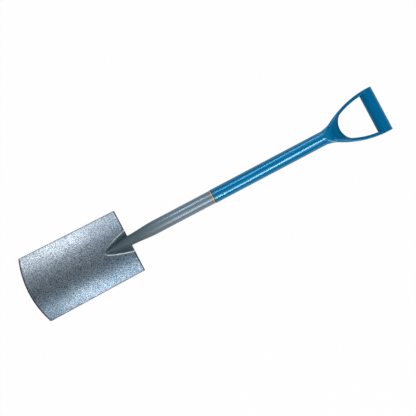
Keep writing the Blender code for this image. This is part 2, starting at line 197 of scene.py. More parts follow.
# Share from 0 to 1 along X between two places, to change a finish along a piece
def makeFadeGroup():
    tree, given, out = newGroup("fadeAlongX", {"Start": 0, "End": 1}, ["Share"])
    parts = addNode(tree, "ShaderNodeSeparateXYZ")
    share = addNode(tree, "ShaderNodeMapRange")
    tree.links.new(objectPoint(tree), parts.inputs[0])
    tree.links.new(parts.outputs["X"], share.inputs["Value"])
    tree.links.new(given.outputs["Start"], share.inputs["From Min"])
    tree.links.new(given.outputs["End"], share.inputs["From Max"])
    tree.links.new(share.outputs["Result"], out.inputs["Share"])
    return tree


hammerDimples = makeHammerGroup()
patchCloud = makePatchGroup()
fadeAlongX = makeFadeGroup()


def patches(tree, scale, low=0.3, high=0.7, stretch=1):
    return placeGroup(tree, patchCloud, Scale=scale, Low=low, High=high, Stretch=stretch)


def alongX(tree, start, end):
    return placeGroup(tree, fadeAlongX, Start=start, End=end).outputs["Share"]


# Hammered paint. On the blade the mesh marks where it is dull, where it is matte with painted shade, the ground
# and rolled edges with painted shade and the worn lips with a painted highlight, and on the tube and the welds it
# gets duller along X
def hammeredPaint(name, settings):
    material, tree, shader = newMaterial(name)
    hammer = placeGroup(tree, hammerDimples, CellsPerMetre=settings["cellsPerMetre"], Warp=settings["warp"])
    mottle = patches(tree, settings["mottleScale"], *settings["mottleRange"])
    colour = blendColours(tree, mottle.outputs["Share"], settings["dark"], settings["light"])
    # Painted shade: the colour darkens in the creases between the dimples
    crease = remap(tree, hammer.outputs["Crease"], 0, 1, 0, settings["creaseShadeShare"])
    colour = blendColours(tree, crease, colour, settings["creaseShadeColour"])
    gloss = patches(tree, settings["patchScale"]).outputs["Share"]
    roughness = remap(tree, gloss, 0, 1, *settings["roughness"])
    metallic = settings["metallic"]
    height = hammer.outputs["Height"]
    if "matteShadeColour" in settings:
        dull = mark(tree, "dull")
        # The matte mark darkens the colour as painted shade and makes the paint less metallic
        matteShade = mark(tree, "matteShade")
        colour = blendColours(tree, matteShade, colour, settings["matteShadeColour"], 'MULTIPLY')
        metallic = blendValues(tree, matteShade, metallic, settings["matteMetallic"])
        # Painted shade: a near-black line along the cutting edge, the treads and the outer sides
        colour = blendColours(tree, mark(tree, "groundAndShade"), colour, settings["edgeShadeColour"])
    else:
        dull = alongX(tree, settings["dullFrom"], settings["dullTo"])
    colour = blendColours(tree, dull, colour, settings["dullColour"])
    if "stripeColour" in settings:
        stripe = alongX(tree, settings["stripeFrom"], settings["stripeTo"])
        colour = blendColours(tree, stripe, colour, settings["stripeColour"])
    if "wornHighlightColour" in settings:
        # Painted highlight: the worn lips turn paler, with flatter dimples
        wornHighlight = mark(tree, "wornHighlight")
        colour = blendColours(tree, wornHighlight, colour, settings["wornHighlightColour"])
        height = blendValues(tree, wornHighlight, height, settings["wornHeight"])
    tree.links.new(colour, shader.inputs["Base Color"])
    tree.links.new(blendValues(tree, dull, roughness, settings["dullRoughness"]), shader.inputs["Roughness"])
    tree.links.new(blendValues(tree, dull, metallic, 0), shader.inputs["Metallic"])
    shader.inputs["Specular IOR Level"].default_value = settings["specular"]
    shader.inputs["Specular Tint"].default_value = (*settings["glossTint"], 1)
    bumpNormal(tree, shader, height, settings["dimpleDepth"], settings["dimpleStrength"])
    return material


bladePaint = {
    "cellsPerMetre": 280, "warp": 0.0022, "mottleScale": 640, "mottleRange": (0.455, 0.545), "patchScale": 30,
    "dark": (0.048, 0.080, 0.114), "light": (0.400, 0.475, 0.548),
    # The crease colour is painted shade
    "creaseShadeColour": (0.04, 0.068, 0.10), "creaseShadeShare": 0.36,
    "roughness": (0.28, 0.34), "metallic": 0.65, "specular": 0.4, "glossTint": (1, 1, 1),
    "dimpleDepth": 0.0005, "dimpleStrength": 0.14,
    "dullColour": (0.142, 0.206, 0.248), "dullRoughness": 0.6,
    # The matte colour is painted shade
    "matteShadeColour": (0.67, 0.74, 0.81), "matteMetallic": 0.35,
    # Painted shade along the edges, and a painted highlight on the worn lips
    "edgeShadeColour": (0.018, 0.024, 0.034), "wornHighlightColour": (0.64, 0.74, 0.79), "wornHeight": 0.5,
}
weldPaint = {
    "cellsPerMetre": 330, "warp": 0.0022, "mottleScale": 420, "mottleRange": (0.35, 0.65), "patchScale": 30,
    "dark": (0.13, 0.19, 0.245), "light": (0.175, 0.25, 0.32),
    # The crease colour is painted shade
    "creaseShadeColour": (0.05, 0.07, 0.09), "creaseShadeShare": 0.15,
    "roughness": (0.24, 0.30), "metallic": 0.05, "specular": 0.68, "glossTint": (0.80, 0.93, 1.0),
    "dimpleDepth": 0.0004, "dimpleStrength": 0.5,
    "dullFrom": -0.080, "dullTo": -0.190, "dullColour": (0.058, 0.088, 0.106), "dullRoughness": 0.7,
}
# The tube is painted as the welds are, but smoother, with a brown stripe before the gilt band
bandX, bandEndX = (corner[0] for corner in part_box("trim_band"))
tubePaint = dict(weldPaint, dimpleStrength=0.04, stripeColour=(0.22, 0.15, 0.07),
                 stripeFrom=bandX - 0.0036, stripeTo=bandX - 0.0026)


# Glossy plastic with slight waves from extrusion or moulding. On the fork and grip the blue is paler at the neck
# and on the grip's far side as painted light, and the mesh marks a painted highlight along the fold and painted
# shade on the rim
def bluePlastic(name, settings):
    material, tree, shader = newMaterial(name)
    waves = patches(tree, settings["waveScale"], stretch=settings["stretch"])
    grain = patches(tree, settings["grainScale"])
    clouds = patches(tree, settings["cloudScale"], stretch=settings["stretch"])
    colour = blendColours(tree, clouds.outputs["Share"], settings["dark"], settings["light"])
    if "neckLitColour" in settings:
        # Painted light: a paler blue at the neck
        nearNeck = alongX(tree, settings["neckTo"], settings["neckFrom"])
        colour = blendColours(tree, nearNeck, colour, settings["neckLitColour"])
        # Painted light: a paler blue on the grip's far side, away from the blade
        nearGrip = alongX(tree, settings["gripFrom"], settings["gripTo"])
        colour = blendColours(tree, nearGrip, colour, settings["gripLitColour"])
        # Painted highlight along the fold
        colour = blendColours(tree, mark(tree, "foldHighlight"), colour, settings["foldHighlightColour"])
        # Painted shade round the rim of the opening
        colour = blendColours(tree, mark(tree, "rim"), colour, settings["rimShadeColour"], 'MULTIPLY')
    tree.links.new(colour, shader.inputs["Base Color"])
    tree.links.new(remap(tree, grain.outputs["Share"], 0, 1, *settings["roughness"]), shader.inputs["Roughness"])
    fine = addNode(tree, "ShaderNodeMath", {1: settings["grainShare"]}, operation='MULTIPLY')
    relief = addNode(tree, "ShaderNodeMath", operation='ADD')
    tree.links.new(grain.outputs["Height"], fine.inputs[0])
    tree.links.new(fine.outputs[0], relief.inputs[0])
    tree.links.new(waves.outputs["Height"], relief.inputs[1])
    bumpNormal(tree, shader, relief.outputs[0], settings["bumpDepth"])
    shader.inputs["IOR"].default_value = settings["ior"]
    shader.inputs["Specular Tint"].default_value = (*settings["glossTint"], 1)
    return material


sleevePlastic = {
    "stretch": 0.12, "waveScale": 60, "grainScale": 700, "cloudScale": 40,
    "dark": (0.0, 0.143, 0.325), "light": (0.0, 0.175, 0.385),
    "roughness": (0.08, 0.11), "grainShare": 0.05, "bumpDepth": 0.000014,
    "ior": 1.7, "glossTint": (0.38, 0.76, 1.0),
}
forkPlastic = dict(sleevePlastic, stretch=1, waveScale=40, roughness=(0.22, 0.27), grainShare=0.2,
                   dark=(0.0, 0.103, 0.25), light=(0.0, 0.12, 0.285), bumpDepth=0.00002, ior=1.6,
                   glossTint=(0.12, 0.66, 1.0),
                   # The neck and grip colours are painted light
                   neckLitColour=(0.004, 0.17, 0.36), neckFrom=0.327, neckTo=0.350,
                   gripLitColour=(0.0, 0.147, 0.355), gripFrom=0.460, gripTo=0.478,
                   # The first of these two colours is a painted highlight along the fold, the second painted shade
                   # on the rim
                   foldHighlightColour=(0.12, 0.46, 0.74), rimShadeColour=(0.3, 0.38, 0.42))


# Metal with faint streaks. The gilt band is painted dark in its groove, as painted shade, and is not metallic
# there
def metal(name, settings):
    material, tree, shader = newMaterial(name)
    streaks = patches(tree, settings["streakScale"])
    colour = blendColours(tree, streaks.outputs["Share"], settings["dark"], settings["light"])
    roughness = remap(tree, streaks.outputs["Share"], 0, 1, *settings["roughness"])
    shader.inputs["Metallic"].default_value = settings["metallic"]
    if "grooveShadeColour" in settings:
        # The groove's dark colour is painted shade
        groove = alongX(tree, settings["grooveFrom"], settings["grooveTo"])
        colour = blendColours(tree, groove, colour, settings["grooveShadeColour"])
        tree.links.new(blendValues(tree, groove, settings["metallic"], 0), shader.inputs["Metallic"])
    tree.links.new(colour, shader.inputs["Base Color"])
    tree.links.new(roughness, shader.inputs["Roughness"])
    bumpNormal(tree, shader, streaks.outputs["Height"], settings["bumpDepth"])
    return material


rodSteel = {
    "streakScale": 500, "dark": (0.30, 0.31, 0.33), "light": (0.50, 0.51, 0.53),
    "roughness": (0.3, 0.45), "metallic": 1.0, "bumpDepth": 0.00005,
}
giltBand = dict(rodSteel, dark=(0.55, 0.42, 0.17), light=(0.95, 0.80, 0.42), metallic=0.4,
                grooveShadeColour=(0.01, 0.05, 0.09), grooveFrom=bandEndX - 0.0020, grooveTo=bandEndX - 0.0014)

bladeMaterial = hammeredPaint("hammeredBladePaint", bladePaint)
tubeMaterial = hammeredPaint("hammeredTubePaint", tubePaint)
weldMaterial = hammeredPaint("weldPaint", weldPaint)
sleeveMaterial = bluePlastic("blueSleevePlastic", sleevePlastic)
forkMaterial = bluePlastic("blueMouldedPlastic", forkPlastic)
giltMaterial = metal("giltBandMetal", giltBand)
rodMaterial = metal("rodSteel", rodSteel)
print("materials made")


# A mesh becomes a piece that rides with the spade and stands for its CAD node
def finishPiece(name, bm, material, nodeName):
    mesh = bpy.data.meshes.new(name)
    bm.to_mesh(mesh)
    bm.free()
    mesh.materials.append(material)
    mesh.shade_smooth()
    piece = bpy.data.objects.new(name, mesh)
    bpy.context.scene.collection.objects.link(piece)
    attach(piece, "root")
    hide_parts(nodeName)
    print("made", name)
    return piece


# A grid whose points go where place() says, from their two shares between 0 and 1
def sheetGrid(rows, columns, place):
    bm = bmesh.new()
    bmesh.ops.create_grid(bm, x_segments=rows, y_segments=columns, size=0.5)
    for vert in bm.verts:
        vert.co = place(vert.co.x + 0.5, vert.co.y + 0.5)
    return bm


# Doubles are merged, and points and faces put in one order, so that each run gives the same mesh
def closeSeams(bm):
    slant = Vector((1, 0.61, 0.37))  # along it, hardly any two places are level
    bmesh.ops.remove_doubles(bm, verts=bm.verts, dist=seamGap)
    bm.verts.sort(key=lambda vert: vert.co.dot(slant))
    bm.faces.sort(key=lambda face: face.calc_center_median().dot(slant))
    bmesh.ops.recalc_face_normals(bm, faces=bm.faces)
    return bm


# A profile of (distance, radius) points, turned about a line along X or Y
def turnProfile(profile, centre, along, steps):
    bm = bmesh.new()
    out = Vector((0, 0, 1))
    verts = [bm.verts.new(Vector(centre) + along * distance + out * radius) for distance, radius in profile]
    edges = [bm.edges.new((a, b)) for a, b in zip(verts, verts[1:] + verts[:1])]
    bmesh.ops.spin(bm, geom=verts + edges, cent=centre, axis=along, angle=2 * math.pi, steps=steps,
                   use_merge=True)
    return closeSeams(bm)


# Blade: hollow sheet with a V shaped frog pressed down for the neck. The pairs for the worn lips' painted
# highlight (shares and start) and for the matte painted shade at the treads and the tip are for the side -Y and
# the side +Y
blade = {
    "sheet": 0.0020, "length": 0.2766, "tipWidth": 0.1688, "shoulderWidth": 0.1615, "rim": 0.0002,
    "edgeRadius": 0.2145, "edgePower": 3, "hollowRadius": 0.190, "lift": 0.015,
    "frogLength": 0.0710, "frogMouth": 0.0560, "frogPower": 0.66, "frogDepth": 0.0100, "frogWallPower": 2.0,
    "lipHeight": 0.0009, "lipWidth": 0.0013, "lipRise": 0.010, "noseShare": 0.3,
    "groundStrip": 0.0030, "groundDrop": 0.0013, "groundThinning": 0.65, "groundShade": 4,
    "treadStrip": 0.0032, "treadDrop": 0.0009, "treadThinning": 0.3, "treadShade": 3, "sideShade": 0.4,
    "dullBorder": 0.0035, "wornHighlightShares": (0.95, 0.85), "wornHighlightFrom": (0.1, 0.75),
    "matteShadeTread": (0.7, 1.0), "matteShadeAlong": (0.45, 0.95),
    "matteShadeTip": (0.9, 0.3), "matteShadeTipLength": 0.45, "matteShadeTipAcross": (0.015, 0.045),
    "rowsStrip": 4, "rowsBody": 86, "rowsFrog": 60, "columnsFrog": 16, "columnsSide": 36,
    "noseGrid": 0.0015, "frogSpread": 1.6, "sideSpread": 1.5,
}
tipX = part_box("blade")[0][0] + blade["rim"]
shoulderX = tipX + blade["length"] - 2 * blade["rim"]
noseX = shoulderX - blade["frogLength"]


# How much higher the hollow face lies away from its middle
def hollow(y):
    return blade["hollowRadius"] - math.sqrt(blade["hollowRadius"] ** 2 - y ** 2)


# Height of the face along its middle, without the frog
def crownZ(x):
    return blade["sheet"] + blade["frogDepth"] + blade["lift"] * (shoulderX - x) / blade["length"]


# The frog's half width, round at its nose and nearly straight towards the treads
def frogHalf(x):
    share = max(0, x - noseX) / blade["frogLength"]
    return blade["frogMouth"] / 2 * share ** blade["frogPower"]


# Half of the width that the mesh's inner columns take: they follow the frog's lips, and open out again
# towards the cutting edge
def gridHalf(x):
    if x < noseX:
        return mix(blade["noseGrid"], blade["frogMouth"] / 2, (noseX - x) / (noseX - tipX))
    return math.hypot(frogHalf(x), blade["noseGrid"])


# The columns lie closest together along the lips
def columnY(x, column):
    if abs(column) <= blade["columnsFrog"]:
        share = abs(column) / blade["columnsFrog"]
        y = gridHalf(x) * (1 - (1 - share) ** blade["frogSpread"])
    else:
        share = (abs(column) - blade["columnsFrog"]) / blade["columnsSide"]
        outer = mix(blade["tipWidth"], blade["shoulderWidth"], (x - tipX) / blade["length"]) / 2
        y = mix(gridHalf(x), outer, share ** blade["sideSpread"])
    return math.copysign(y, column)


# The rows bend with the round cutting edge, and straighten out towards the treads
def bentX(x, y):
    back = blade["edgeRadius"] - math.sqrt(blade["edgeRadius"] ** 2 - y ** 2)
    return x + back * (1 - (x - tipX) / blade["length"]) ** blade["edgePower"]


# The frog's floor, level at the treads and rising towards its nose
def frogFloorZ(x):
    share = (shoulderX - x) / blade["frogLength"]
    return mix(blade["sheet"], crownZ(noseX), share ** 2)


# The raised lip round the frog: 1 along its crest, fading to 0 on both sides
def lipShare(x, y):
    if x <= noseX:
        away = math.hypot(noseX - x, y)
    else:
        slope = blade["frogPower"] * frogHalf(x) / (x - noseX)
        away = (abs(y) - frogHalf(x)) / math.hypot(1, slope)
    return math.exp(-(away / blade["lipWidth"]) ** 2)


# How far the lip's paint is worn away, more towards the treads, with a paler colour that is also a painted
# highlight, stronger on the side -Y
def wornHighlightShare(x, y):
    side = y > 0
    along = (x - noseX) / blade["frogLength"]
    return lipShare(x, y) * blade["wornHighlightShares"][side] * ease(along / blade["wornHighlightFrom"][side])


# Height of the upper face, with the frog and its lip
def faceZ(x, y):
    half = frogHalf(x)
    z = crownZ(x) + hollow(y)
    if abs(y) < half:
        z = mix(frogFloorZ(x), crownZ(x) + hollow(half), (abs(y) / half) ** blade["frogWallPower"])
    return z + blade["lipHeight"] * lipShare(x, y) * ease((x - noseX) / blade["lipRise"] + blade["noseShare"])


# How far a row is into the ground strip at the cutting edge, or the rolled strip at the treads
def edgeShares(x):
    groundAndShade = max(0, 1 - (x - tipX) / blade["groundStrip"])
    tread = max(0, 1 - (shoulderX - x) / blade["treadStrip"])
    return groundAndShade, tread


# The finish is duller near the treads and the cutting edge, and its colour is darker there as painted shade, by
# different amounts on the two sides
def matteShadeShare(x, y):
    along = (x - tipX) / blade["length"]
    start, full = blade["matteShadeAlong"]
    inner, outer = blade["matteShadeTipAcross"]
    tread = blade["matteShadeTread"][y >= 0] * ease((along - start) / (full - start))
    tip = blade["matteShadeTip"][y >= 0] * ease(1 - along / blade["matteShadeTipLength"])
    return max(tread, tip * ease((abs(y) - inner) / (outer - inner)))


# Places of the mesh's rows along the middle, close together in the two strips
def bladeRows():
    strip, body, frog = blade["rowsStrip"], blade["rowsBody"], blade["rowsFrog"]
    bodyX = tipX + blade["groundStrip"]
    frogEndX = shoulderX - blade["treadStrip"]
    rows = [mix(tipX, bodyX, step / strip) for step in range(strip)]
    rows += [mix(bodyX, noseX, step / body) for step in range(body)]
    rows += [mix(noseX, frogEndX, step / frog) for step in range(frog)]
    rows += [mix(frogEndX, shoulderX, step / strip) for step in range(strip + 1)]
    return rows


# The hollow sheet, with its thickness and the marks for its paint, its painted shade and its painted highlight
def bladeSheet():
    rowPlaces = bladeRows()
    rows = len(rowPlaces) - 1
    half = blade["columnsFrog"] + blade["columnsSide"]
    bm = sheetGrid(rows, 2 * half, lambda u, w: Vector((u, w, 0)))
    thickness = bm.verts.layers.deform.verify()
    edgeShadeMark = bm.verts.layers.float.new("groundAndShade")
    dullMark = bm.verts.layers.float.new("dull")
    wornHighlightMark = bm.verts.layers.float.new("wornHighlight")
    matteShadeMark = bm.verts.layers.float.new("matteShade")
    for vert in bm.verts:
        x = rowPlaces[round(vert.co.x * rows)]
        column = (vert.co.y * 2 - 1) * half
        y = columnY(x, column)
        bent = bentX(x, y)
        groundAndShade, tread = edgeShares(x)
        drop = blade["groundDrop"] * groundAndShade + blade["treadDrop"] * tread ** 2
        vert.co = (bent, y, faceZ(bent, y) - drop)
        vert[thickness][0] = 1 - blade["groundThinning"] * groundAndShade - blade["treadThinning"] * tread
        side = abs(column) > half - 0.5  # the last column
        # The edge mark paints shade along the ground strip, the rolled treads and the outer column
        vert[edgeShadeMark] = min(1, blade["groundShade"] * groundAndShade + blade["treadShade"] * tread
                               + blade["sideShade"] * side)
        vert[dullMark] = ease((frogHalf(x) - abs(y)) / blade["dullBorder"])
        vert[wornHighlightMark] = wornHighlightShare(x, y)
        vert[matteShadeMark] = matteShadeShare(x, y)
    return bm


bladePiece = finishPiece("bladeSheet", bladeSheet(), bladeMaterial, "blade")
shell = bladePiece.modifiers.new("Sheet", 'SOLIDIFY')
shell.thickness = blade["sheet"]
shell.offset = -1
shell.use_even_offset = True
bladePiece.vertex_groups.new(name="Thickness")
shell.vertex_group = "Thickness"
rim = bladePiece.modifiers.new("Rim", 'BEVEL')
rim.width = blade["rim"]
rim.segments = 2
rim.limit_method = 'ANGLE'
rim.angle_limit = math.radians(60)


# Shaft tube: pressed flat in the frog, round above the neck
tube = {
    "diameter": 0.0337, "wall": 0.0015, "neckWidth": 0.0258, "neckTaper": 0.0700,
    "tongueSetback": 0.0060, "tongueEndWidth": 0.0050, "tongueEndHeight": 0.0036, "tongueCurve": 0.4,
    "noseRound": 0.0025, "rowsTongue": 40, "rowsTaper": 24, "rowsShaft": 12, "sides": 96,
}
shaftZ = middleOf("shaft_sleeve")[2]
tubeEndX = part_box("shaft_tube")[1][0]
neckHalfHeight = shaftZ - blade["sheet"] - fitGap
tongueX = noseX + tube["tongueSetback"]


# A straight rise that turns level over its last part
def levelOff(share, curve):
    past = max(0, (share - 1 + curve) / curve)
    return (min(share, 1 - curve) + curve * (past - past * past / 2)) / (1 - curve / 2)


# The tube's half width, half height and middle height at a place along it
def tubeSection(x):
    if x < shoulderX:
        share = (x - tongueX) / (shoulderX - tongueX)
        halfWidth = mix(tube["tongueEndWidth"] / 2, tube["neckWidth"] / 2, share)
        halfHeight = mix(tube["tongueEndHeight"] / 2, neckHalfHeight, levelOff(share, tube["tongueCurve"]))
        return halfWidth, halfHeight, frogFloorZ(x) + fitGap + halfHeight
    share = ease((x - shoulderX) / tube["neckTaper"])
    halfWidth = mix(tube["neckWidth"] / 2, tube["diameter"] / 2, share)
    halfHeight = mix(neckHalfHeight, tube["diameter"] / 2, share)
    return halfWidth, halfHeight, shaftZ


def tubeSkin():
    stations = [mix(tongueX, shoulderX, step / tube["rowsTongue"]) for step in range(tube["rowsTongue"])]
    stations += [shoulderX + tube["neckTaper"] * step / tube["rowsTaper"] for step in range(tube["rowsTaper"])]
    shaftStart = shoulderX + tube["neckTaper"]
    stations += [mix(shaftStart, tubeEndX, step / tube["rowsShaft"]) for step in range(tube["rowsShaft"] + 1)]
    rows = len(stations) - 1

    def place(u, w):
        x = stations[round(u * rows)]
        halfWidth, halfHeight, middle = tubeSection(x)
        rounding = min(1, (x - tongueX) / tube["noseRound"])
        shrink = math.sqrt(1 - (1 - rounding) ** 2)
        angle = 2 * math.pi * w
        return Vector((x, shrink * halfWidth * math.cos(angle), middle + shrink * halfHeight * math.sin(angle)))

    return closeSeams(sheetGrid(rows, tube["sides"], place))


finishPiece("shaftTube", tubeSkin(), tubeMaterial, "shaft_tube")


# Sleeve and gilt band: thin rings about the shaft, the band with a groove at its upper end
ring = {"wall": 0.0006, "round": 0.0003, "sides": 128, "grooveWidth": 0.0015, "grooveShare": 0.8}


# A tube wall's profile, with a second pair of loops that keeps its shading straight
def ringProfile(low, high, outer, wall, rounding):
    return [(low, outer - wall), (low, outer - rounding), (low + rounding, outer), (low + 2 * rounding, outer),
            (high - 2 * rounding, outer), (high - rounding, outer), (high, outer - rounding), (high, outer - wall)]


def shaftRing(name, nodeName, material, groove=0):
    low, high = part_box(nodeName)
    outer = (high[2] - low[2]) / 2
    floor = outer - ring["wall"] * ring["grooveShare"]
    profile = ringProfile(low[0], high[0] - groove, outer, ring["wall"], ring["round"])
    if groove:
        profile[-1:] = [(high[0] - groove, floor), (high[0], floor), (high[0], outer - ring["wall"])]
    bm = turnProfile(profile, (0, 0, shaftZ), Vector((1, 0, 0)), ring["sides"])
    finishPiece(name, bm, material, nodeName)


shaftRing("shaftSleeve", "shaft_sleeve", sleeveMaterial)
shaftRing("trimBand", "trim_band", giltMaterial, ring["grooveWidth"])


# Fork: a neck that opens into a web and two arms, with round eyes for the grip's rod
fork = {
    "spigotLength": 0.0600, "spigotBore": 0.0200, "spigotOverlap": 0.002, "spigotSides": 64,
    "neckStep": 0.0004, "neckFlare": 0.55, "neckFillet": 0.0645,
    "crotchFromGrip": 0.0975, "crotchRadius": 0.0410, "innerRadius": 0.1985, "handWidth": 0.0998,
    "outerRadius": 0.2430, "outerShift": 0.0085, "outerWidth": 0.1169,
    "webDepth": 0.0330, "armDepth": 0.0270, "eyeFillet": 0.0600, "eyeTrim": 0.0001,
    # The fold's paler line is a painted highlight
    "foldRound": 0.0018, "foldHighlightWidth": 0.0016, "foldHighlightStart": 0.002, "foldHighlightEnd": 0.022, "foldHighlightFade": 0.006,
    "foldHighlightShares": (1.0, 0.35),  # side -Y, side +Y
    "recess": 0.0060, "recessFrom": 0.010, "recessRamp": 0.024, "recessInset": 0.0095, "recessWall": 0.005,
    # The last two settings of the next line set the painted shade round the opening
    "rimWidths": (0.0062, 0.0034), "rimDrop": 0.34, "rimShadeWidth": 0.0068, "rimShadeEnd": 0.048,
    "slopeWidth": 0.0085, "slopeDrop": 0.17, "slopeFrom": 0.010, "slopeRamp": 0.012, "roundingEnd": 0.035,
    "rodHole": 0.0053, "rodHoleSides": 48,
    "voxel": 0.0008, "arcSteps": 40, "smoothRounds": 8, "smoothFactor": 0.5,
}
gripX = middleOf("grip")[0]
eyeRadius = (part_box("grip")[1][2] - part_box("grip")[0][2]) / 2 - fork["eyeTrim"]
crotchX = gripX - fork["crotchFromGrip"]
neckRadius = (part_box("shaft_sleeve")[1][2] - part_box("shaft_sleeve")[0][2]) / 2 + fork["neckStep"]
outerCentre = (gripX + fork["outerShift"],
               fork["outerWidth"] / 2 - math.sqrt(fork["outerRadius"] ** 2 - fork["outerShift"] ** 2))
innerCentre = (gripX, fork["handWidth"] / 2 - fork["innerRadius"])
crotchCentre = (crotchX + fork["crotchRadius"], 0)


def angleTo(centre, point):
    return math.atan2(point[1] - centre[1], point[0] - centre[0])


def arcPoints(centre, radius, start, end):
    steps = fork["arcSteps"]
    angles = (mix(start, end, step / steps) for step in range(steps + 1))
    return [(centre[0] + radius * math.cos(angle), centre[1] + radius * math.sin(angle)) for angle in angles]


# Where the crotch's circle and the arm's inner circle meet
def innerCorner():
    away = math.dist(crotchCentre, innerCentre)
    along = (fork["crotchRadius"] ** 2 - fork["innerRadius"] ** 2 + away ** 2) / (2 * away)
    turn = angleTo(crotchCentre, innerCentre) - math.acos(along / fork["crotchRadius"])
    return (crotchCentre[0] + fork["crotchRadius"] * math.cos(turn),
            crotchCentre[1] + fork["crotchRadius"] * math.sin(turn))


# The fork's outline in plan, from the neck round one arm to the crotch, and back along the other
def forkOutline():
    filletY = neckRadius + fork["neckFillet"]
    reach = fork["outerRadius"] + fork["neckFillet"]
    fillet = (outerCentre[0] - math.sqrt(reach ** 2 - (filletY - outerCentre[1]) ** 2), filletY)
    turn = angleTo(outerCentre, fillet)
    corner = innerCorner()
    endX = gripX + eyeRadius
    half = [(tubeEndX, neckRadius)]
    half += arcPoints(fillet, fork["neckFillet"], -math.pi / 2, turn - math.pi)
    half += arcPoints(outerCentre, fork["outerRadius"], turn,
                      angleTo(outerCentre, (gripX, fork["outerWidth"] / 2)))[1:]
    half += [(endX, fork["outerWidth"] / 2), (endX, fork["handWidth"] / 2)]
    half += arcPoints(innerCentre, fork["innerRadius"], math.pi / 2, angleTo(innerCentre, corner))
    half += arcPoints(crotchCentre, fork["crotchRadius"], angleTo(crotchCentre, corner), math.pi)[1:]
    return half + [(x, -y) for x, y in reversed(half[:-1])]


# A plain slab of that outline, as high as the eyes
def forkSlab():
    bm = bmesh.new()
    outline = [bm.verts.new((x, y, shaftZ - eyeRadius)) for x, y in forkOutline()]
    face = bm.faces.new(outline)
    raised = bmesh.ops.extrude_face_region(bm, geom=[face])["geom"]
    bmesh.ops.translate(bm, verts=[item for item in raised if isinstance(item, bmesh.types.BMVert)],
                        vec=(0, 0, 2 * eyeRadius))
    bmesh.ops.recalc_face_normals(bm, faces=bm.faces)
    return bm


# The piece's modifiers are applied
def bakeMesh(piece):
    graph = bpy.context.evaluated_depsgraph_get()
    mesh = bpy.data.meshes.new_from_object(piece.evaluated_get(graph))
    piece.modifiers.clear()
    piece.data = mesh


# How far a place in plan is from the opening's edge, or from the arms' outer edge, inside the fork
def fromOpening(x, y):
    return max(math.dist((x, y), crotchCentre) - fork["crotchRadius"],
               math.dist((x, abs(y)), innerCentre) - fork["innerRadius"])


def fromOutside(x, y):
    return fork["outerRadius"] - math.dist((x, abs(y)), outerCentre)


# Half of the fork's depth seen from the side: web, narrower arms, and a fillet up to the round eyes
def sideDepth(x):
    web, arm = fork["webDepth"] / 2, fork["armDepth"] / 2
    filletZ = arm + fork["eyeFillet"]
    filletX = gripX - math.sqrt((eyeRadius + fork["eyeFillet"]) ** 2 - filletZ ** 2)
    touchX = mix(gripX, filletX, eyeRadius / (eyeRadius + fork["eyeFillet"]))
    if x < filletX:
        return mix(web, arm, ease((x - crotchX) / (filletX - crotchX)))
    if x < touchX:
        return filletZ - math.sqrt(fork["eyeFillet"] ** 2 - (x - filletX) ** 2)
    return math.sqrt(max(0, eyeRadius ** 2 - min(0, x - gripX) ** 2))


# The lesser of two depths, with a rounded change from one to the other
def softMin(first, second, width):
    near = max(0, width - abs(first - second)) / width
    return min(first, second) - near * near * width / 4


# The neck stays round and opens out as a cone, which ends in a fold where the web is flat
def coneRadius(beyond):
    return neckRadius + fork["neckFlare"] * beyond


# Half of the depth at a place in plan: flat inside the fold, with a recess in the web, a rounded rim
# at the opening and arms that slope away outside
def forkDepth(x, y):
    beyond = x - tubeEndX
    barrel = math.sqrt(max(0, coneRadius(beyond) ** 2 - y ** 2))
    depth = softMin(sideDepth(x), barrel, fork["foldRound"])
    inside = ease((fromOutside(x, y) - fork["recessInset"]) / fork["recessWall"] + 0.5)
    depth -= fork["recess"] * inside * ease((beyond - fork["recessFrom"]) / fork["recessRamp"])
    past = ease((x - crotchX) / fork["roundingEnd"])
    rim = max(0, 1 - max(0, fromOpening(x, y)) / mix(*fork["rimWidths"], past))
    slope = max(0, 1 - max(0, fromOutside(x, y)) / fork["slopeWidth"])
    slope *= ease((beyond - fork["slopeFrom"]) / fork["slopeRamp"])
    return depth * (1 - (1 - past) * (fork["rimDrop"] * rim ** 2 + fork["slopeDrop"] * slope ** 2))


# Past the grip's centre the slab's square section is turned into a half round
def shapeFork(mesh):
    for vert in mesh.vertices:
        x, y, z = vert.co
        height = (z - shaftZ) / eyeRadius
        if x > gripX:
            reach = (x - gripX) / eyeRadius
            vert.co.x = gripX + eyeRadius * reach * math.sqrt(1 - height ** 2 / 2)
            vert.co.z = shaftZ + eyeRadius * height * math.sqrt(1 - reach ** 2 / 2)
        else:
            vert.co.z = shaftZ + height * forkDepth(x, y)


forkPiece = finishPiece("handleFork", forkSlab(), forkMaterial, "handle_fork")
voxels = forkPiece.modifiers.new("Voxels", 'REMESH')
voxels.mode = 'VOXEL'
voxels.voxel_size = fork["voxel"]
voxels.use_smooth_shade = True
bakeMesh(forkPiece)
shapeFork(forkPiece.data)
softening = forkPiece.modifiers.new("Soften", 'SMOOTH')
softening.factor = fork["smoothFactor"]
softening.iterations = fork["smoothRounds"]
bakeMesh(forkPiece)


# The spigot inside the tube, joined to the fork's mesh
def addSpigot(piece):
    outer = tube["diameter"] / 2 - tube["wall"] - fitGap
    bore = fork["spigotBore"] / 2
    start = tubeEndX - fork["spigotLength"]
    end = tubeEndX + fork["spigotOverlap"]
    spigot = turnProfile([(start, bore), (start, outer), (end, outer), (end, bore)],
                         (0, 0, shaftZ), Vector((1, 0, 0)), fork["spigotSides"])
    for face in spigot.faces:
        face.smooth = True
    shell = bpy.data.meshes.new("forkSpigot")
    spigot.to_mesh(shell)
    spigot.free()
    bm = bmesh.new()
    bm.from_mesh(piece.data)
    bm.from_mesh(shell)
    bm.to_mesh(piece.data)
    bm.free()
    bpy.data.meshes.remove(shell)


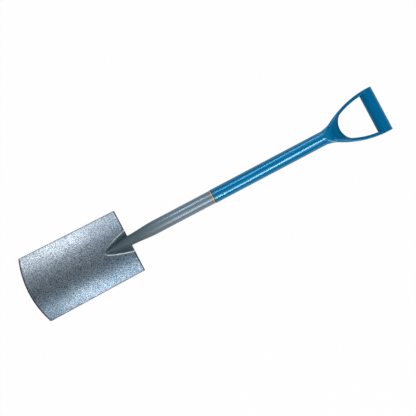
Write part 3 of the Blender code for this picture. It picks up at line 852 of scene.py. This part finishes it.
# The hole for the rod through both eyes
def cutRodHole(piece):
    reach = fork["outerWidth"]
    cutter = turnProfile([(-reach, 0), (-reach, fork["rodHole"]), (reach, fork["rodHole"]), (reach, 0)],
                         (gripX, 0, shaftZ), Vector((0, 1, 0)), fork["rodHoleSides"])
    mesh = bpy.data.meshes.new("rodHole")
    cutter.to_mesh(mesh)
    cutter.free()
    tool = bpy.data.objects.new("rodHole", mesh)
    bpy.context.scene.collection.objects.link(tool)
    cut = piece.modifiers.new("RodHole", 'BOOLEAN')
    cut.operation = 'DIFFERENCE'
    cut.solver = 'EXACT'
    cut.object = tool
    bakeMesh(piece)
    bpy.data.objects.remove(tool)


# A painted highlight: a paler line along the fold between the round neck and the flat web, stronger on the side -Y
def foldHighlightShare(x, y):
    beyond = x - tubeEndX
    foldY = math.sqrt(max(0, coneRadius(beyond) ** 2 - sideDepth(x) ** 2))
    fade = ease(beyond / fork["foldHighlightStart"]) * ease((fork["foldHighlightEnd"] - beyond) / fork["foldHighlightFade"])
    return fork["foldHighlightShares"][y >= 0] * fade * math.exp(-((abs(y) - foldY) / fork["foldHighlightWidth"]) ** 2)


# Painted shade: a darker rim round the opening, fading out along the arms
def rimShadeShare(x, y):
    fade = ease((crotchX + fork["rimShadeEnd"] - x) / fork["rimShadeEnd"])
    return ease(1 - fromOpening(x, y) / fork["rimShadeWidth"]) * fade


# The mesh carries both shares for the plastic: the painted highlight along the fold, on the upper face only, and
# the painted shade on the rim
def markFork(piece):
    foldHighlight = piece.data.attributes.new("foldHighlight", 'FLOAT', 'POINT')
    rim = piece.data.attributes.new("rim", 'FLOAT', 'POINT')
    for vert in piece.data.vertices:
        x, y, z = vert.co
        if x > tubeEndX and z > shaftZ:
            foldHighlight.data[vert.index].value = foldHighlightShare(x, y)
        if x > tubeEndX:
            rim.data[vert.index].value = rimShadeShare(x, y)


cutRodHole(forkPiece)
addSpigot(forkPiece)
markFork(forkPiece)


# Grip: a bar between the arms, trimmed a hair so that it stays inside its CAD node
grip = {"round": 0.0006, "bore": 0.0053, "trim": 0.00005, "sides": 128}


def gripSkin():
    low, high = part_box("grip")
    centre = middleOf("grip")
    half = (high[1] - low[1]) / 2
    outer = (high[2] - low[2]) / 2 - grip["trim"]
    profile = ringProfile(-half, half, outer, outer - grip["bore"], grip["round"])
    return turnProfile(profile, (centre[0], 0, centre[2]), Vector((0, 1, 0)), grip["sides"])


finishPiece("gripBar", gripSkin(), forkMaterial, "grip")


# The rod through the grip, whose ends show in the eyes
rod = {"chamfer": 0.0006, "sides": 48}


def rodSkin():
    low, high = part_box("grip_rod")
    centre = middleOf("grip_rod")
    half = (high[1] - low[1]) / 2
    radius = (high[2] - low[2]) / 2
    inset = rod["chamfer"]
    profile = [(-half, 0), (-half, radius - inset), (-half + inset, radius),
               (half - inset, radius), (half, radius - inset), (half, 0)]
    return turnProfile(profile, (centre[0], 0, centre[2]), Vector((0, 1, 0)), rod["sides"])


finishPiece("gripRod", rodSkin(), rodMaterial, "grip_rod")

# The welds and the rivet keep their CAD shapes
for nodeName, material in (("frog_weld_left", weldMaterial), ("frog_weld_right", weldMaterial),
                           ("handle_rivet", rodMaterial)):
    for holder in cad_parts[nodeName].material_slots:
        holder.material = material


# Stage: a pale floor that the camera sees as nearly white paper
stage = {"floorSize": 12, "floorDrop": 0.0002, "floorColour": (0.7, 0.7, 0.7), "floorRoughness": 0.9,
         "cameraShow": 0.98, "glossShow": 0.12}


def makeFloor():
    bm = bmesh.new()
    bmesh.ops.create_grid(bm, x_segments=1, y_segments=1, size=stage["floorSize"] / 2)
    mesh = bpy.data.meshes.new("floor")
    bm.to_mesh(mesh)
    bm.free()
    floor = bpy.data.objects.new("floor", mesh)
    bpy.context.scene.collection.objects.link(floor)
    floor.location.z = -stage["floorDrop"]
    material, tree, shader = newMaterial("floorPaper")
    shader.inputs["Base Color"].default_value = (*stage["floorColour"], 1)
    shader.inputs["Roughness"].default_value = stage["floorRoughness"]
    glow = addNode(tree, "ShaderNodeEmission", {"Color": (1, 1, 1, 1), "Strength": 1})
    rays = addNode(tree, "ShaderNodeLightPath")
    direct = addNode(tree, "ShaderNodeMath", operation='MAXIMUM')
    shown = addNode(tree, "ShaderNodeMath", {1: stage["cameraShow"]}, operation='MULTIPLY')
    mirrored = addNode(tree, "ShaderNodeMath", {1: stage["glossShow"]}, operation='MULTIPLY')
    seen = addNode(tree, "ShaderNodeMath", operation='MAXIMUM')
    blend = addNode(tree, "ShaderNodeMixShader")
    tree.links.new(rays.outputs["Is Camera Ray"], direct.inputs[0])
    tree.links.new(rays.outputs["Is Transmission Ray"], direct.inputs[1])
    tree.links.new(direct.outputs[0], shown.inputs[0])
    tree.links.new(rays.outputs["Is Glossy Ray"], mirrored.inputs[0])
    tree.links.new(shown.outputs[0], seen.inputs[0])
    tree.links.new(mirrored.outputs[0], seen.inputs[1])
    tree.links.new(seen.outputs[0], blend.inputs[0])
    tree.links.new(shader.outputs[0], blend.inputs[1])
    tree.links.new(glow.outputs[0], blend.inputs[2])
    tree.links.new(blend.outputs[0], tree.nodes["Material Output"].inputs["Surface"])
    mesh.materials.append(material)


# Strips of soft light above the spade: where along X, tilt to the side and turn in its own plane in
# degrees, size, brightness and colour. The first of each pair lights the blade, the second the shaft
stripDistance = 3
keyStrips = ((-0.185, -42.5, 0, (0.63, 1.5), 7.1, (1, 0.88, 0.80)),
             (0.36, -33, 78.5, (2.6, 0.19), 16, (1, 0.93, 0.88)))
fillStrips = ((-0.07, 45, 0, (0.20, 1.3), 18.5, (0.99, 0.97, 0.97)),
              (0.36, 52, 79, (2.6, 0.16), 8.0, (0.40, 0.86, 1)))


def softStrips(name, strips):
    for number, (middle, tilt, turn, size, brightness, colour) in enumerate(strips):
        lamp = bpy.data.lights.new(name, 'AREA')
        lamp.shape = 'RECTANGLE'
        lamp.size, lamp.size_y = size
        lamp.energy = brightness * math.pi * lamp.size * lamp.size_y
        lamp.color = colour
        item = bpy.data.objects.new(f"{name}{number + 1}", lamp)
        side = math.radians(tilt)
        item.location = (middle, stripDistance * math.sin(side), stripDistance * math.cos(side))
        item.rotation_mode = 'ZYX'
        item.rotation_euler = Euler((-side, 0, math.radians(turn)), 'ZYX')
        bpy.context.scene.collection.objects.link(item)


# The room is bright on both sides: its brightness by how far to the side it is, from -1 to 1 along Y
room = {
    "dark": (0.9, 0.95, 1.0), "bright": (1.0, 1.0, 1.0),
    "steps": ((-1.0, 0.07), (-0.88, 0.1), (-0.80, 0.8), (-0.55, 1.0), (-0.45, 0.8), (-0.30, 0.50), (-0.15, 0.30),
              (0.0, 0.09), (0.30, 0.09), (0.44, 0.18), (0.52, 0.8), (0.60, 1.0), (0.80, 0.8), (0.90, 0.1),
              (1.0, 0.07)),
}


def makeRoom():
    world = bpy.data.worlds.new("room")
    bpy.context.scene.world = world
    world.use_nodes = True
    tree = world.node_tree
    tree.nodes.clear()
    direction = addNode(tree, "ShaderNodeTexCoord")
    parts = addNode(tree, "ShaderNodeSeparateXYZ")
    tree.links.new(direction.outputs["Generated"], parts.inputs[0])
    side = remap(tree, parts.outputs["Y"], -1, 1, 0, 1)
    ramp = addNode(tree, "ShaderNodeValToRGB")
    stops = ramp.color_ramp.elements
    while len(stops) < len(room["steps"]):
        stops.new(0.5)
    for stop, (place, level) in zip(stops, room["steps"]):
        stop.position = (place + 1) / 2
        stop.color = (*[level * mix(low, high, level) for low, high in zip(room["dark"], room["bright"])], 1)
    tree.links.new(side, ramp.inputs["Fac"])
    light = addNode(tree, "ShaderNodeBackground", {"Strength": 1})
    tree.links.new(ramp.outputs["Color"], light.inputs["Color"])
    white = addNode(tree, "ShaderNodeBackground", {"Color": (1, 1, 1, 1), "Strength": 1})
    rays = addNode(tree, "ShaderNodeLightPath")
    blend = addNode(tree, "ShaderNodeMixShader")
    out = addNode(tree, "ShaderNodeOutputWorld")
    tree.links.new(rays.outputs["Is Camera Ray"], blend.inputs[0])
    tree.links.new(light.outputs[0], blend.inputs[1])
    tree.links.new(white.outputs[0], blend.inputs[2])
    tree.links.new(blend.outputs[0], out.inputs["Surface"])


makeFloor()
softStrips("keyStrip", keyStrips)
softStrips("fillStrip", fillStrips)
makeRoom()


# Camera: nearly square on, with a long lens
camera = {"azimuth": -27.83, "elevation": 88, "distance": 5.624, "lens": 200,
          "target": (-0.0034, -0.0190, 0.018)}


def makeCamera():
    lens = bpy.data.cameras.new("camera")
    lens.lens = camera["lens"]
    lens.sensor_width = 36
    lens.clip_end = 50
    item = bpy.data.objects.new("camera", lens)
    turn = math.radians(camera["azimuth"])
    rise = math.radians(camera["elevation"])
    back = Vector((math.sin(turn) * math.cos(rise), -math.cos(turn) * math.cos(rise), math.sin(rise)))
    item.location = Vector(camera["target"]) + back * camera["distance"]
    item.rotation_euler = Euler((math.pi / 2 - rise, 0, turn))
    bpy.context.scene.collection.objects.link(item)
    bpy.context.scene.camera = item


makeCamera()
bpy.context.scene.view_settings.view_transform = 'Standard'
print("stage, lights and camera ready")
